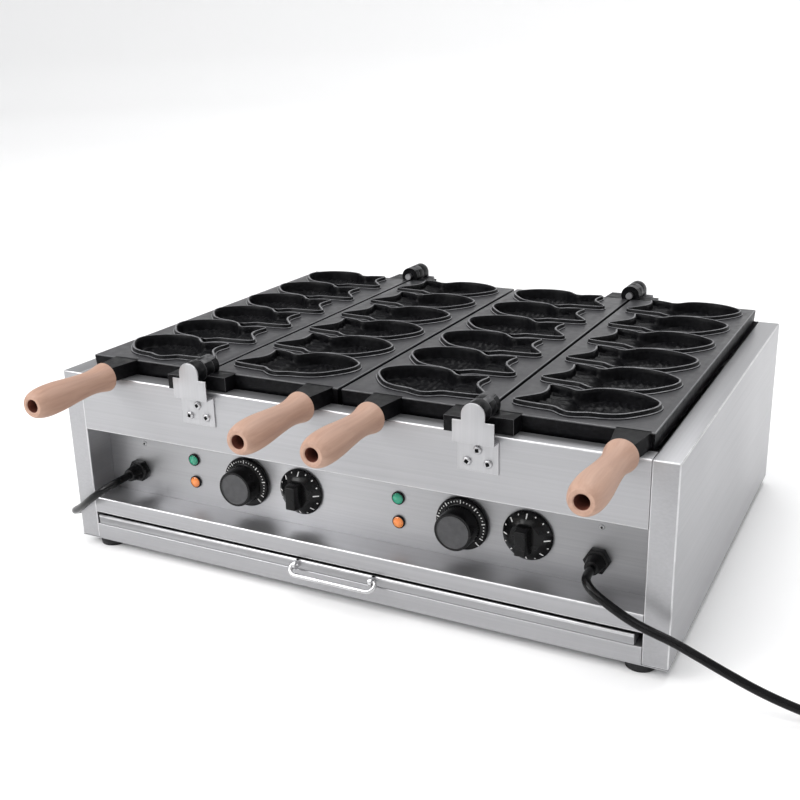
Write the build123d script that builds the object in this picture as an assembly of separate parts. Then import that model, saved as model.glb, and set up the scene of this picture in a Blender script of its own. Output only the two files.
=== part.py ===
# Taiyaki maker: four hinged cast mould plates in two pairs on a stainless casing, with the
# heaters, controls, crumb drawer and two mains cords. Millimetres, +Z up.
# Y is counted from the casing's front face while the pieces are made. save() then shifts each
# one so that the origin lies under the middle of the object, on the surface it stands on.
import os
from math import radians, tan

from build123d import *

# ---- casing
casing_width = 650.0
casing_depth = 476.0
casing_height = 190.0
foot_height = 10.0
foot_radius = 15.0
foot_inset_x = 28.0
foot_inset_y = 18.0
sheet = 1.2
side_box = 23.5                 # thickness of a boxed side wall
seam = 0.1                      # between sheets that meet edge to edge
front_drop = 62.5               # height of the upper front panel
top_flange = 19.0
recess_depth = 33.0
fascia_height = 17.8
slot_height = 13.4              # mouth of the drawer
rail_height = 17.8              # bottom rail below the drawer
rail_flange = 25.0
vent_length = 46.0
vent_width = 5.0
vent_count = 9
vent_pitch = 15.0
vent_group = 140.0              # centre of a group of vents from the middle

# ---- mould plates
plate_front = 21.0              # plate's front edge behind the casing's front face
plate_back_margin = 6.0
side_gap = 3.5
middle_gap = 4.0
hinge_gap = 3.5
plate_rise = 15.0               # plate surface above the casing's top
plate_thickness = 20.0
plate_draft = 4.0
lip_height = 4.8
lip_width = 3.4
body_depth = 12.2               # fish body below the plate surface
tail_depth = 5.0
tail_end = -16.0                # where the deep body starts, along the fish
fish_count = 6
fish_pitch = 71.5
fish_row_shift = 3.5
fish_offset = 74.0              # middle of a fish from the hinge axis
fish_back = [(16, 35.5), (3, 34), (-5, 26.5), (-14, 14.5), (-24, 25), (-52, 27), (-43, 1)]
fish_belly = [(-61, -26), (-17, -31), (-9, -39.5), (9, -34), (27, -33.5)]
fish_nose = (61.5, 3)
fish_corner = 3.0
rest_gap = 0.4                  # lugs above the casing's flange

# ---- hinges
axis_rise = 20.0                # hinge axis above the casing's top
knuckle_radius = 11.0
knuckle_lengths = (13.4, 11.8, 12.4)
knuckle_gap = 0.3
knuckle_clearance = 0.4
pin_radius = 4.0
running_clearance = 0.05
pin_tail = 1.5
lug_root = 31.5
lug_tip = 30.5
lug_fronts = (-5.5, 5.0)        # front faces of the two plates' lugs
lug_overlap = 4.0               # of lugs and tangs into the plate
bracket_width = 39.0
bracket_sheet = 1.5
bracket_reach = 12.0            # front of the bracket ahead of the casing
bracket_plate = 31.0
bracket_top = 4.4               # bracket's shelf below the casing's top
shoulder_rise = 14.5
screw_radius = 2.0
screw_head = 4.0
screw_length = 8.0
screw_places = [(0, -10.5), (-10, -22), (10, -22)]

# ---- handles
handle_length = 101.0
handle_gap = 12.0               # inner end ahead of the casing
handle_rise = 4.5               # handle axis above the casing's top
handle_insets = (42.0, 20.5, 48.5, 18.5)  # from each plate's outer edge
handle_end = 14.8
handle_waist = 12.0
handle_belly = 15.2
handle_tip = 10.5
handle_bore = 6.4
handle_bore_depth = 30.0
tang_root = 30.0
tang_tip = 20.0
rod_radius = 3.0
rod_in_tang = 15.0
nut_flats = 10.0
nut_length = 5.0

# ---- controls
module_offset = 120.5
lamp_offset = -67.0
thermostat_offset = 0.5
timer_offset = 64.8
gland_inset = {"left": 64.0, "right": 74.0}   # from the end of the casing
mark_screw_inset = 72.0
control_height = 96.5           # knob and lamp centres above the floor
lamp_spread = 24.8
lamp_radius = 4.8
lamp_length = 16.0
lamp_dome = 2.6
bezel_radius = 6.6
bezel_wall = 0.6
bezel_thickness = 2.0
knob_gap = 1.2
skirt_radius = 26.4
skirt_length = 6.0
grip_radius = 19.5
knob_length = 24.0
timer_skirt_radius = 24.2
timer_skirt_length = 9.0
timer_face_radius = 14.2
bar_width = 10.5
bar_length = 24.0
bar_flare = 1.5                 # wider at its foot, all round
bar_rise = 13.0
shaft_radius = 3.0
shaft_in_knob = 16.0
shaft_in_body = 12.0
bush_radius = 4.9
bush_clearance = 0.1
thermostat_size = (40.0, 26.0, 36.0)
timer_radius = 22.0
timer_length = 34.0
gland_height = 86.0
gland_flats = 21.0
gland_nut = 8.0
gland_nose = 13.0
gland_nose_base = 9.0
gland_nose_tip = 6.6
gland_thread = 7.0
gland_tail = 14.0
mark_screw_height = 117.0
mark_screw_head = 2.4

# ---- drawer
drawer_side_gaps = (3.0, 7.0)    # left and right
drawer_depth = 430.0
drawer_height = 8.4
drawer_lift = 0.6
drawer_sheet = 1.0
eye_rise = 7.07                  # bail's pivot above the tray's bottom
roll_radius = 1.8
runner_width = 13.0
runner_height = 12.0
eye_half_span = 42.5
eye_radius = 4.8
eye_width = 3.2
eye_reach = 6.0
bail_wire = 2.3
bail_drop = 10.5
bail_overhang = 2.8
bail_tilt = 45.0                # from hanging straight down
bail_corner = 7.5

# ---- heat and wiring
heater_radius = 3.5
heater_pitch = 30.0
heater_turn = 14.0
heater_front = 48.0
heater_back = 24.0
heater_return = 76.0
rail_z = 179.0                  # top of the rails that carry the heaters
rail_bar = (14.0, 3.0)
rail_places = (90.0, 245.0, 400.0)
shield_z = 150.0
divider_z = 44.0
bulb_radius = 3.0
bulb_length = 90.0
capillary_radius = 1.2
capillary_bend = 12.0
capillary_run = 50.0
terminal_size = (60.0, 22.0, 20.0)
terminal_place = 90.0

# ---- cords; the routes start ahead of the glands and run to the coils, as (outwards, y, z)
cord_radius = 4.0
coil_radius = 58.0              # middle of the turns
coil_wraps = 2                  # turns side by side and on each other
coil_base = 0.8
tie_width = 14.0
tie_angle = 180.0
plug_angle = 45.0               # where the cord leaves the coil for its plug
plug_run = 36.0                 # from there to the plug
plug_radius = 12.6
plug_length = 38.0
plug_nose = 20.0
plug_nose_radius = 8.0
prong_radius = 2.4
prong_length = 19.0
prong_spacing = 19.0
cord_start = {"left": 17.0, "right": 16.0}   # straight run out of the gland
right_route = [(4, -12.2, 84), (11, -17.3, 80.3), (26, -18.8, 71.8), (42.5, -19, 63), (58, -19, 57.3),
               (79, -17, 50.5), (98, -17, 43), (125, -16, 31.5), (155, -15, 20), (188, -12, 10.5), (220, -9.5, 5.6),
               (249, -8.5, 4.9)]
right_coil = (281.0, 53.5)
left_route = [(3.5, -13.4, 83.6), (10, -18.7, 79.3), (21, -20.5, 71.5), (36, -18, 60.5), (52, -11.5, 49),
              (71, -3, 38), (84, 17, 28), (89, 48, 19), (88, 80, 12), (86, 112, 7.2), (85, 146, 5.2), (85, 180, 4.9)]
left_coil = (147.0, 215.0)

# ---- worked out
half_width = casing_width / 2
inner = half_width - side_box
gland_x = {"left": gland_inset["left"] - half_width, "right": half_width - gland_inset["right"]}
mark_screw_x = half_width - mark_screw_inset
gland_tip = recess_depth - gland_nut - gland_nose
base_z = foot_height
top_z = foot_height + casing_height
surface_z = top_z + plate_rise
axis_z = top_z + axis_rise
shelf_z = top_z - bracket_top
plate_near = hinge_gap / 2
plate_width = (inner - side_gap - middle_gap / 2 - hinge_gap) / 2
plate_far = plate_near + plate_width
hinge_x = middle_gap / 2 + plate_far
plate_back = casing_depth - plate_back_margin
plate_middle = (plate_front + plate_back) / 2
flag_inner = -bracket_reach + bracket_sheet
knuckle_start = flag_inner + knuckle_gap
recess_top_z = top_z - front_drop
rail_top_z = base_z + rail_height
slot_top_z = rail_top_z + slot_height
recess_floor_z = slot_top_z + fascia_height
panel_back = recess_depth + sheet
back_inner = casing_depth - sheet
drawer_ends = (drawer_side_gaps[0] - inner, inner - drawer_side_gaps[1])
drawer_middle = sum(drawer_ends) / 2
drawer_z = rail_top_z + drawer_lift
handle_z = top_z + handle_rise
eye_z = drawer_z + eye_rise
modules = {"left": -module_offset, "right": module_offset}
origin_y = ((2 * plate_middle + bracket_reach) - (handle_gap + handle_length)) / 2

os.makedirs("parts", exist_ok=True)


def save(name, *pieces):
    """Write one node, shifted so that the origin is under the middle of the object."""
    solids = [solid for piece in pieces for solid in piece.solids()]
    shape = solids[0] if len(solids) == 1 else Compound(children=solids)
    export_step(Pos(0, -origin_y, 0) * shape, f"parts/{name}.step")


def slab(x0, x1, y0, y1, z0, z1):
    """A box between two corners."""
    return Pos((x0 + x1) / 2, (y0 + y1) / 2, (z0 + z1) / 2) * Box(x1 - x0, y1 - y0, z1 - z0)


def rod_y(x, z, y0, y1, radius, end_radius=None):
    """A round bar, or a cone, along Y from y0 to y1."""
    length = y1 - y0
    place = Pos(x, (y0 + y1) / 2, z) * Rot(-90, 0, 0)
    if end_radius is None:
        return place * Cylinder(radius, length)
    return place * Cone(radius, end_radius, length)


def hexagon_y(x, z, y0, y1, flats):
    """A hexagonal bar along Y."""
    profile = RegularPolygon(flats / 2, 6, major_radius=False)
    return Pos(x, y0, z) * Rot(-90, 0, 0) * extrude(profile, y1 - y0)


def both_ends(start, length):
    """The span at the front and its mirror image at the back of the plates."""
    return [(start, start + length), (2 * plate_middle - start - length, 2 * plate_middle - start)]


# ---- casing
def side_wall(side):
    outer = slab(inner, half_width, 0, casing_depth, base_z + sheet, top_z)
    hollow = slab(inner + sheet, half_width - sheet, sheet, casing_depth - sheet,
                  base_z + sheet, top_z - sheet)
    wall = outer - hollow
    return wall if side > 0 else mirror(wall, Plane.YZ)


def foot_places():
    x = half_width - foot_inset_x
    return [(sx * x, y) for sx in (-1, 1) for y in (foot_inset_y, casing_depth - foot_inset_y)]


def front_panel():
    edge = inner - seam
    panel = slab(-edge, edge, 0, sheet, recess_top_z, top_z)
    panel += slab(-edge, edge, 0, top_flange, top_z - sheet, top_z)
    panel += slab(-edge, edge, 0, recess_depth, recess_top_z, recess_top_z + sheet)
    return panel


def control_panel():
    edge = inner - seam
    panel = slab(-edge, edge, recess_depth, panel_back, recess_floor_z, shield_z)
    for middle in modules.values():
        for x in (middle + thermostat_offset, middle + timer_offset):
            panel -= rod_y(x, control_height, 0, panel_back + sheet, bush_radius + bush_clearance)
        for z in lamp_heights():
            panel -= rod_y(middle + lamp_offset, z, 0, panel_back + sheet, lamp_radius + bezel_wall)
    for x in gland_x.values():
        panel -= rod_y(x, gland_height, 0, panel_back + sheet, gland_thread)
    for x in (-mark_screw_x, mark_screw_x):
        panel -= rod_y(x, mark_screw_height, 0, panel_back + sheet, screw_radius)
    return panel


def front_sill():
    edge = inner - seam
    sill = slab(-edge, edge, 0, panel_back, recess_floor_z - sheet, recess_floor_z)
    sill += slab(-edge, edge, 0, sheet, slot_top_z, recess_floor_z)
    sill += slab(-edge, edge, 0, recess_depth / 2, slot_top_z, slot_top_z + sheet)
    return sill


def bottom_rail():
    edge = inner - seam
    rail = slab(-edge, edge, 0, sheet, base_z + sheet, rail_top_z)
    rail += slab(-edge, edge, 0, rail_flange, rail_top_z - sheet, rail_top_z)
    return rail


def back_panel():
    edge = inner - seam
    panel = slab(-edge, edge, back_inner, casing_depth, base_z + sheet, top_z)
    slot = slab(-vent_width / 2, vent_width / 2, back_inner - sheet, casing_depth + sheet,
                -vent_length / 2, vent_length / 2)
    z = (base_z + shield_z) / 2
    for group in (-vent_group, vent_group):
        for i in range(vent_count):
            panel -= Pos(group + (i - (vent_count - 1) / 2) * vent_pitch, 0, z) * slot
    return panel


# ---- mould plates, made with the hinge axis at x = 0 and the plate towards +x
def fish_outline():
    points = fish_back + fish_belly
    outline = Polyline(*points) + ThreePointArc(points[-1], fish_nose, points[0])
    face = make_face(outline)
    return fillet(face.vertices(), fish_corner)


def fish_places():
    first = plate_middle + fish_row_shift - (fish_count - 1) / 2 * fish_pitch
    return [(fish_offset, first + i * fish_pitch) for i in range(fish_count)]


def mould_plate(own, handle_offset):
    """own is 0 for the plate with the two outer knuckles, 1 for the one between them."""
    outline = Pos((plate_near + plate_far) / 2, plate_middle, surface_z) * Rectangle(
        plate_width, plate_back - plate_front)
    plate = extrude(outline, -plate_thickness, taper=plate_draft)
    lug_z = top_z + rest_gap

    for y0, y1 in both_ends(lug_fronts[own], plate_front - lug_fronts[own] + knuckle_radius):
        at_front = y0 < plate_middle
        tip, root = (y0, plate_front) if at_front else (y1, plate_back)
        inside = root + (lug_overlap if at_front else -lug_overlap)
        lug = Polyline((plate_near, tip), (lug_tip, tip), (lug_root, root), (lug_root, inside),
                       (plate_near, inside), close=True)
        plate += Pos(0, 0, lug_z) * extrude(make_face(lug), surface_z - lug_z)

    root, tip = tang_root / 2, tang_tip / 2
    inside = plate_front + lug_overlap
    tang = Polyline((-root, inside), (-root, plate_front), (-tip, -handle_gap), (tip, -handle_gap),
                    (root, plate_front), (root, inside), close=True)
    plate += Pos(handle_offset, 0, lug_z) * extrude(make_face(tang), surface_z - lug_z)
    plate -= rod_y(handle_offset, handle_z, -handle_gap, rod_in_tang - handle_gap, rod_radius)

    fish = fish_outline()
    rim = extrude(offset(fish, lip_width), lip_height)
    tail = extrude(fish, -tail_depth - lip_height)
    ahead = Pos(tail_end + fish_pitch, 0) * Rectangle(2 * fish_pitch, 2 * fish_pitch)
    deep = extrude(fish & ahead, -body_depth - lip_height)
    for x, y in fish_places():
        plate += Pos(x, y, surface_z) * rim
    for x, y in fish_places():
        plate -= Pos(x, y, surface_z + lip_height) * tail
        plate -= Pos(x, y, surface_z + lip_height) * deep

    start = knuckle_start
    for i, length in enumerate(knuckle_lengths):
        for y0, y1 in both_ends(start, length):
            if i % 2 == own:
                plate += rod_y(0, axis_z, y0, y1, knuckle_radius)
            else:
                plate -= rod_y(0, axis_z, y0 - knuckle_gap, y1 + knuckle_gap,
                               knuckle_radius + knuckle_clearance)
        start += length + knuckle_gap
    for y0, y1 in both_ends(flag_inner, start - flag_inner + knuckle_gap):
        plate -= rod_y(0, axis_z, y0, y1, pin_radius + running_clearance)
    return plate


# ---- hinges
def hinge_bracket(x, at_front):
    half = bracket_width / 2
    tab = Pos(0, shelf_z - bracket_sheet + (shoulder_rise + bracket_top + bracket_sheet) / 2) * Rectangle(
        bracket_width, shoulder_rise + bracket_top + bracket_sheet)
    tab += Pos(0, (shelf_z + axis_z) / 2) * Rectangle(2 * knuckle_radius, axis_z - shelf_z)
    tab += Pos(0, axis_z) * Circle(knuckle_radius)
    flag = Pos(x, -bracket_reach + bracket_sheet, 0) * Rot(90, 0, 0) * extrude(tab, bracket_sheet)
    face = 0 if at_front else 2 * plate_middle - casing_depth
    bracket = flag + slab(x - half, x + half, -bracket_reach, face, shelf_z - bracket_sheet, shelf_z)
    bracket += slab(x - half, x + half, face - bracket_sheet, face, shelf_z - bracket_plate, shelf_z)
    for dx, dz in screw_places:
        bracket -= rod_y(x + dx, shelf_z + dz, face - bracket_sheet, face, screw_radius)
    return bracket if at_front else mirror(bracket, Plane.XZ.offset(-plate_middle))


def bracket_screws():
    screws = []
    for x in (-hinge_x, hinge_x):
        for dx, dz in screw_places:
            z = shelf_z + dz
            for face, out in ((0, -1), (casing_depth, 1)):
                seat = face + out * bracket_sheet
                shank = sorted((seat, seat - out * screw_length))
                head = sorted((seat, seat + out * screw_radius))
                screws.append(rod_y(x + dx, z, *shank, screw_radius)
                              + rod_y(x + dx, z, *head, screw_head))
    return screws


def hinge_pins():
    last = knuckle_start + sum(knuckle_lengths) + 2 * knuckle_gap + pin_tail
    return [rod_y(x, axis_z, y0, y1, pin_radius)
            for x in (-hinge_x, hinge_x) for y0, y1 in both_ends(flag_inner, last - flag_inner)]


# ---- handles
def wood_handle(x):
    start, length = -handle_gap, handle_length
    stations = [(handle_end, 0), (handle_end, 0.03), (handle_waist, 0.2), (handle_belly, 0.74),
                (handle_tip + 2.4, 0.96), (handle_tip, 1.0)]
    points = [(r, -share * length) for r, share in stations]
    side = Line((0, 0), points[0]) + Line(points[0], points[1]) + Spline(*points[1:5])
    side += Line(points[4], points[5]) + Line(points[5], (0, -length)) + Line((0, -length), (0, 0))
    handle = Pos(x, start, handle_z) * revolve(make_face(side), Axis.Y)
    handle -= rod_y(x, handle_z, start - length, start, rod_radius)
    handle -= rod_y(x, handle_z, start - length, start - length + handle_bore_depth, handle_bore)
    return handle


def handle_rod(x):
    seat = -handle_gap - handle_length + handle_bore_depth
    rod = rod_y(x, handle_z, seat - nut_length - rod_radius, rod_in_tang - handle_gap, rod_radius)
    return rod + hexagon_y(x, handle_z, seat - nut_length, seat, nut_flats)


# ---- controls
def lamp_heights():
    return [control_height + lamp_spread / 2, control_height - lamp_spread / 2]


def lamp(x, z):
    return rod_y(x, z, recess_depth - bezel_thickness, recess_depth + lamp_length, lamp_radius) + rod_y(
        x, z, recess_depth - bezel_thickness - lamp_dome, recess_depth - bezel_thickness,
        lamp_radius / 2, lamp_radius)


def lamp_bezel(x, z):
    ring = rod_y(x, z, recess_depth - bezel_thickness, recess_depth, bezel_radius)
    ring += rod_y(x, z, recess_depth, recess_depth + lamp_length, lamp_radius + bezel_wall)
    return ring - rod_y(x, z, 0, recess_depth + lamp_length, lamp_radius)


def thermostat_knob(x):
    back = recess_depth - knob_gap
    knob = rod_y(x, control_height, back - skirt_length, back, skirt_radius - 1.5, skirt_radius)
    knob += rod_y(x, control_height, back - knob_length, back - skirt_length, grip_radius - 1.0,
                  grip_radius)
    return knob - rod_y(x, control_height, back - shaft_in_knob, back, shaft_radius)


def timer_knob(x):
    back = recess_depth - knob_gap
    face = back - timer_skirt_length
    knob = rod_y(x, control_height, face, back, timer_face_radius, timer_skirt_radius)
    foot = RectangleRounded(bar_width + 2 * bar_flare, bar_length + 2 * bar_flare, bar_flare)
    top = RectangleRounded(bar_width, bar_length, bar_flare)
    knob += Pos(x, face, control_height) * Rot(90, 0, 0) * loft([foot, Pos(0, 0, bar_rise) * top])
    return knob - rod_y(x, control_height, back - shaft_in_knob, back, shaft_radius)


def control_shaft(x):
    return rod_y(x, control_height, recess_depth - knob_gap - shaft_in_knob,
                 panel_back + shaft_in_body, shaft_radius)


def bored_bush(body, x):
    body += rod_y(x, control_height, recess_depth, panel_back, bush_radius)
    return body - rod_y(x, control_height, 0, panel_back + shaft_in_body + running_clearance,
                        shaft_radius + running_clearance)


def thermostat_body(x):
    width, depth, height = thermostat_size
    body = slab(x - width / 2, x + width / 2, panel_back, panel_back + depth,
                control_height - height / 2, control_height + height / 2)
    return bored_bush(body, x)


def timer_body(x):
    return bored_bush(rod_y(x, control_height, panel_back, panel_back + timer_length, timer_radius), x)


def cable_gland(x):
    nut_front = gland_tip + gland_nose
    gland = hexagon_y(x, gland_height, nut_front, recess_depth, gland_flats)
    gland += rod_y(x, gland_height, gland_tip, nut_front, gland_nose_tip, gland_nose_base)
    gland += rod_y(x, gland_height, recess_depth, panel_back + gland_tail, gland_thread)
    gland += hexagon_y(x, gland_height, panel_back, panel_back + gland_nut / 2, gland_flats)
    return gland


def mark_screw(x):
    return rod_y(x, mark_screw_height, recess_depth, panel_back + screw_radius, screw_radius) + rod_y(
        x, mark_screw_height, recess_depth - 1, recess_depth, mark_screw_head)


# ---- drawer
def drawer_roll():
    """The rolled edge along the top of the drawer's front."""
    roll = Rot(0, 90, 0) * Cylinder(roll_radius, drawer_ends[1] - drawer_ends[0])
    return Pos(drawer_middle, roll_radius - sheet / 2, drawer_z + drawer_height) * roll


def drawer_tray():
    tray = slab(*drawer_ends, 0, drawer_depth, drawer_z, drawer_z + drawer_height)
    tray -= slab(drawer_ends[0] + drawer_sheet, drawer_ends[1] - drawer_sheet, drawer_sheet,
                 drawer_depth - drawer_sheet, drawer_z + drawer_sheet, drawer_z + 2 * drawer_height)
    return tray + drawer_roll()


def drawer_runners():
    runners = []
    for side in (-1, 1):
        x0, x1 = sorted((side * (inner - seam), side * (inner - runner_width)))
        ledge = slab(x0, x1, panel_back, back_inner - seam, rail_top_z - sheet, rail_top_z)
        w0, w1 = sorted((side * (inner - seam), side * (inner - seam - sheet)))
        ledge += slab(w0, w1, panel_back, back_inner - seam, rail_top_z - sheet,
                      rail_top_z + runner_height)
        runners.append(ledge)
    return runners


def bail_eyes():
    eyes = []
    for x in (-eye_half_span, eye_half_span):
        eye = slab(x - eye_width / 2, x + eye_width / 2, -eye_reach, 0, eye_z - eye_radius + 1,
                   eye_z + eye_radius - 1)
        eye += Pos(x, -eye_reach, eye_z) * Rot(0, 90, 0) * Cylinder(eye_radius, eye_width)
        eye -= Pos(x, -eye_reach, eye_z) * Rot(0, 90, 0) * Cylinder(
            bail_wire + running_clearance, 2 * eye_width)
        eyes.append(eye - drawer_roll())
    return eyes


def drawer_bail():
    out = eye_half_span + eye_width / 2 + bail_overhang
    tuck = eye_half_span - eye_width
    path = FilletPolyline((-tuck, 0, 0), (-out, 0, 0), (-out, 0, -bail_drop), (out, 0, -bail_drop),
                          (out, 0, 0), (tuck, 0, 0),
                          radius=[bail_wire * 1.2, bail_corner, bail_corner, bail_wire * 1.2])
    wire = sweep(Plane((-tuck, 0, 0), z_dir=(-1, 0, 0)) * Circle(bail_wire), path=path)
    return Pos(0, -eye_reach, eye_z) * Rot(-bail_tilt, 0, 0) * wire


# ---- heat
def heater(x):
    z = rail_z + heater_radius
    back = back_inner - heater_back
    xs = [x + heater_pitch * k for k in (-1.5, -0.5, 0.5, 1.5)]
    turn = back - heater_return
    path = FilletPolyline((xs[0], back, z), (xs[0], heater_front, z), (xs[1], heater_front, z),
                          (xs[1], turn, z), (xs[2], turn, z), (xs[2], heater_front, z),
                          (xs[3], heater_front, z), (xs[3], back, z), radius=heater_turn)
    return sweep(Plane((xs[0], back, z), z_dir=(0, -1, 0)) * Circle(heater_radius), path=path)


def heater_rails():
    edge = inner - seam
    width, thick = rail_bar
    return [slab(-edge, edge, y - width / 2, y + width / 2, rail_z - thick, rail_z)
            for y in rail_places]


def thermostat_bulb(side):
    """The bulb under the rails, with the thin tube that leads to its thermostat."""
    x = modules[side] + thermostat_offset
    start = panel_back + thermostat_size[1]
    riser = start + capillary_run
    z = rail_z - rail_bar[1] - bulb_radius
    bulb_x = hinge_x if side == "right" else -hinge_x
    bulb_y = plate_middle - bulb_length / 2
    path = FilletPolyline((x, start, control_height), (x, riser, control_height), (x, riser, z),
                          (bulb_x, riser + capillary_run, z), (bulb_x, bulb_y + bulb_radius, z),
                          radius=capillary_bend)
    tube = sweep(Plane((x, start, control_height), z_dir=(0, 1, 0)) * Circle(capillary_radius), path=path)
    return tube + rod_y(bulb_x, z, bulb_y, bulb_y + bulb_length, bulb_radius)


def heat_shield():
    edge = inner - seam
    shield = slab(-edge, edge, recess_depth, back_inner - seam, shield_z, shield_z + sheet)
    for middle in modules.values():
        y = panel_back + thermostat_size[1] + capillary_run
        shield -= Pos(middle + thermostat_offset, y, shield_z) * Cylinder(2 * capillary_radius, 4 * sheet)
    return shield


def divider():
    edge = inner - seam
    return slab(-edge, edge, panel_back, back_inner - seam, divider_z, divider_z + sheet)


def terminal_block():
    width, depth, height = terminal_size
    block = slab(-width / 2, width / 2, terminal_place - depth / 2, terminal_place + depth / 2,
                 divider_z + sheet, divider_z + sheet + height)
    for i in range(4):
        x = (i - 1.5) * width / 4
        block -= Pos(x, terminal_place, divider_z + sheet + height) * Cylinder(screw_head, height)
    return block


# ---- cords
def bend_radii(route):
    """The radius of each corner's arc, from its shorter run and half its turn."""
    radii = []
    for before, corner, after in zip(route, route[1:], route[2:]):
        run_in, run_out = Vector(*corner) - Vector(*before), Vector(*after) - Vector(*corner)
        half = run_in.get_angle(run_out) / 2
        radii.append(0.45 * min(run_in.length, run_out.length) / tan(radians(half)))
    return radii


def cord(name, route):
    radii = bend_radii(route)
    path = FilletPolyline(*route, radius=radii)
    start = Plane(route[0], z_dir=Vector(*route[1]) - Vector(*route[0]))
    tube = sweep(start * Circle(cord_radius), path=path)
    print(name, "radii", [round(r) for r in radii], "length", round(path.length),
          "volume share", round(tube.volume / (path.length * 3.14159 * cord_radius ** 2), 4))
    return tube


def coil(place):
    thick = coil_wraps * cord_radius
    profile = Plane.XZ * Pos(coil_radius, coil_base + thick) * Rectangle(2 * thick, 2 * thick)
    return Pos(place[0], place[1], 0) * revolve(profile, Axis.Z)


def coil_tie(place):
    thick = coil_wraps * cord_radius
    band = Pos(coil_radius, 0, coil_base + thick) * Box(
        2 * (thick + coil_base), tie_width, 2 * (thick + coil_base))
    return Pos(place[0], place[1], 0) * Rot(0, 0, tie_angle) * band - coil(place)


def plug(place):
    """The plug lies beside the coil, in line with the top outer turn as it leaves."""
    body = Cylinder(plug_radius, plug_length, align=(Align.CENTER, Align.CENTER, Align.MIN))
    body = Pos(0, 0, plug_nose) * body
    body += Cone(cord_radius + 0.5, plug_nose_radius, plug_nose,
                 align=(Align.CENTER, Align.CENTER, Align.MIN))
    for dx in (-prong_spacing / 2, prong_spacing / 2):
        body += Pos(dx, 0, plug_nose + plug_length) * Cylinder(
            prong_radius, prong_length, align=(Align.CENTER, Align.CENTER, Align.MIN))
    laid = Pos(coil_radius + cord_radius, plug_run, coil_base + 3 * cord_radius) * Rot(-90, 0, 0) * body
    return Pos(place[0], place[1], 0) * Rot(0, 0, plug_angle) * laid


# ---- the nodes
save("base_pan", slab(-half_width, half_width, 0, casing_depth, base_z, base_z + sheet))
save("side_wall_left", side_wall(-1))
save("side_wall_right", side_wall(1))
save("control_panel", control_panel())
save("front_sill", front_sill())
save("bottom_rail", bottom_rail())
save("feet", *[Pos(x, y, foot_height / 2) * Cylinder(foot_radius, foot_height) for x, y in foot_places()])

screws = bracket_screws()
front = front_panel()
rear = back_panel()
for screw in screws:
    front -= screw
    rear -= screw
save("front_panel", front)
save("back_panel", rear)
save("bracket_screws", *screws)
save("hinge_brackets_front", hinge_bracket(-hinge_x, True), hinge_bracket(hinge_x, True))
save("hinge_brackets_back", hinge_bracket(-hinge_x, False), hinge_bracket(hinge_x, False))
save("hinge_pins", *hinge_pins())

for number, (hinge, own) in enumerate([(-1, 0), (-1, 1), (1, 0), (1, 1)], start=1):
    out = -1 if own == 0 else 1
    handle_offset = plate_far - handle_insets[number - 1]
    plate = mould_plate(own, handle_offset)
    if own == 0:
        plate = mirror(plate, Plane.YZ)
    save(f"mould_plate_{number}", Pos(hinge * hinge_x, 0, 0) * plate)
    handle_x = hinge * hinge_x + out * handle_offset
    save(f"wood_handle_{number}", wood_handle(handle_x))
    save(f"handle_rod_{number}", handle_rod(handle_x))

for side, middle in modules.items():
    save(f"thermostat_knob_{side}", thermostat_knob(middle + thermostat_offset))
    save(f"thermostat_shaft_{side}", control_shaft(middle + thermostat_offset))
    save(f"timer_knob_{side}", timer_knob(middle + timer_offset))
    save(f"timer_shaft_{side}", control_shaft(middle + timer_offset))
save("thermostat_bodies", *[thermostat_body(m + thermostat_offset) for m in modules.values()])
save("timer_bodies", *[timer_body(m + timer_offset) for m in modules.values()])
save("lamps_green", *[lamp(m + lamp_offset, lamp_heights()[0]) for m in modules.values()])
save("lamps_orange", *[lamp(m + lamp_offset, lamp_heights()[1]) for m in modules.values()])
save("lamp_bezels", *[lamp_bezel(m + lamp_offset, z) for m in modules.values() for z in lamp_heights()])
save("cable_gland_left", cable_gland(gland_x["left"]))
save("cable_gland_right", cable_gland(gland_x["right"]))
save("panel_screws", mark_screw(-mark_screw_x), mark_screw(mark_screw_x))

save("drawer_tray", drawer_tray())
save("drawer_runners", *drawer_runners())
save("bail_eyes", *bail_eyes())
save("drawer_bail", drawer_bail())

plate_centre = (plate_near + plate_far) / 2
save("heating_elements", *[heater(h + s * plate_centre) for h in (-hinge_x, hinge_x) for s in (-1, 1)])
save("heater_rails", *heater_rails())
save("thermostat_bulb_left", thermostat_bulb("left"))
save("thermostat_bulb_right", thermostat_bulb("right"))
save("heat_shield", heat_shield())
save("divider", divider())
save("terminal_block", terminal_block())

for side, out, run, coil_place in (("left", -1, left_route, left_coil),
                                   ("right", 1, right_route, right_coil)):
    route = [(gland_x[side], y, gland_height) for y in (gland_tip, gland_tip - cord_start[side])]
    route += [(gland_x[side] + out * x, y, z) for x, y, z in run]
    place = (gland_x[side] + out * coil_place[0], coil_place[1])
    save(f"cord_{side}", cord(f"cord_{side}", route))
    save(f"cord_coil_{side}", coil(place))
    save(f"cord_tie_{side}", coil_tie(place))
    save(f"cord_plug_{side}", plug(place))
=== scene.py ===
import bpy, bmesh
from math import atan2, cos, hypot, pi, radians, sin, tan
from mathutils import Matrix, Vector
from mathutils.geometry import delaunay_2d_cdt


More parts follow.
